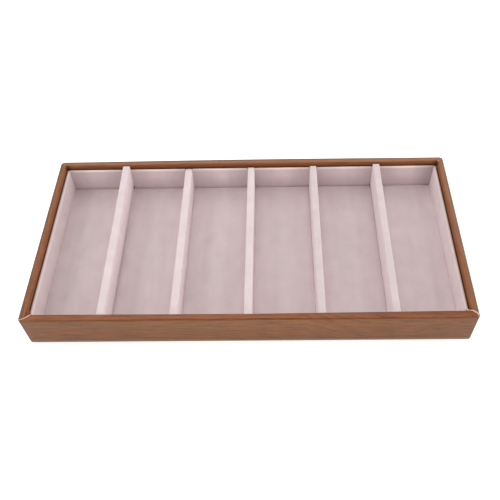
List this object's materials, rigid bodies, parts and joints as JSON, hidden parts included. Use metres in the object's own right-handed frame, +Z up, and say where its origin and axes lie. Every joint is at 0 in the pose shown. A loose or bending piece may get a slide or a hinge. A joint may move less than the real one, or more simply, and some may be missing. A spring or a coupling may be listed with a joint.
{
  "type": "divided organizer tray",
  "caption": "Long shallow wood-grain tray lined with velvet, split into equal compartments by padded dividers that lift out of slots in the lining.",
  "frame": {"origin": "middle of the tray's length and depth, on the plane that the underside rests on", "axes": "+X along the long side, to the right as seen from the front; +Y from the front to the rear; +Z up"},
  "size_m": [0.35, 0.171, 0.033],
  "materials": {
    "fibreboard": "raw medium-density fibreboard",
    "greyboard": "raw grey board",
    "leatherette": "wood-grain leatherette, satin",
    "velvet": "short-pile dusty pink velvet",
    "backing_cloth": "flat brown backing cloth"
  },
  "bodies": {
    "tray": {"front_board": "fibreboard", "rear_board": "fibreboard", "left_board": "fibreboard", "right_board": "fibreboard", "base_board": "fibreboard", "underside_sheet": "backing_cloth", "leatherette_wrap": "leatherette", "floor_board": "greyboard", "floor_velvet": "velvet", "rear_liner_1_board": "greyboard", "rear_liner_1_velvet": "velvet", "rear_liner_2_board": "greyboard", "rear_liner_2_velvet": "velvet", "rear_liner_3_board": "greyboard", "rear_liner_3_velvet": "velvet", "rear_liner_4_board": "greyboard", "rear_liner_4_velvet": "velvet", "rear_liner_5_board": "greyboard", "rear_liner_5_velvet": "velvet", "rear_liner_6_board": "greyboard", "rear_liner_6_velvet": "velvet", "front_liner_1_board": "greyboard", "front_liner_1_velvet": "velvet", "front_liner_2_board": "greyboard", "front_liner_2_velvet": "velvet", "front_liner_3_board": "greyboard", "front_liner_3_velvet": "velvet", "front_liner_4_board": "greyboard", "front_liner_4_velvet": "velvet", "front_liner_5_board": "greyboard", "front_liner_5_velvet": "velvet", "front_liner_6_board": "greyboard", "front_liner_6_velvet": "velvet", "left_liner_board": "greyboard", "left_liner_velvet": "velvet", "right_liner_board": "greyboard", "right_liner_velvet": "velvet"},
    "divider_1": {"divider_1_board": "fibreboard", "divider_1_velvet": "velvet"},
    "divider_2": {"divider_2_board": "fibreboard", "divider_2_velvet": "velvet"},
    "divider_3": {"divider_3_board": "fibreboard", "divider_3_velvet": "velvet"},
    "divider_4": {"divider_4_board": "fibreboard", "divider_4_velvet": "velvet"},
    "divider_5": {"divider_5_board": "fibreboard", "divider_5_velvet": "velvet"}
  },
  "joints": [
    {"name": "divider_1_lift", "type": "slide", "parent": "tray", "child": "divider_1", "axis": [0, 0, 1], "range_m": [0, 0.03]},
    {"name": "divider_2_lift", "type": "slide", "parent": "tray", "child": "divider_2", "axis": [0, 0, 1], "range_m": [0, 0.03]},
    {"name": "divider_3_lift", "type": "slide", "parent": "tray", "child": "divider_3", "axis": [0, 0, 1], "range_m": [0, 0.03]},
    {"name": "divider_4_lift", "type": "slide", "parent": "tray", "child": "divider_4", "axis": [0, 0, 1], "range_m": [0, 0.03]},
    {"name": "divider_5_lift", "type": "slide", "parent": "tray", "child": "divider_5", "axis": [0, 0, 1], "range_m": [0, 0.03]}
  ]
}
